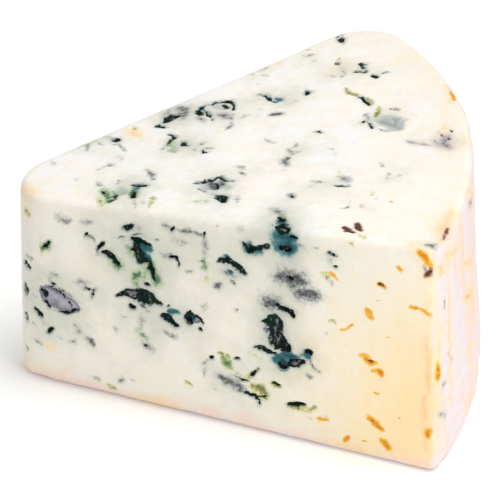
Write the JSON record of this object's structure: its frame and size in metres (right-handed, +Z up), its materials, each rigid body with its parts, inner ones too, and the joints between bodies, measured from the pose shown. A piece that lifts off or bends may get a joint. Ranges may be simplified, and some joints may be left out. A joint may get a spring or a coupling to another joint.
{
  "type": "cheese wedge",
  "caption": "Wedge of blue-veined cheese cut from a halved wheel, with a blunt tip, two straight cut faces, a curved rind and a flat base.",
  "frame": {"origin": "under the middle of the bounding box, on the flat base that the wedge rests on", "axes": "+Z up; +X along the front cut, from the blunt tip towards the rind; the front cut faces -Y"},
  "size_m": [0.0944, 0.0836, 0.0522],
  "materials": {
    "paste": "moist ivory paste with blue-green mould veins and a pale pinkish-orange rind"
  },
  "bodies": {
    "root": {"cheese_wedge": "paste"}
  },
  "joints": []
}
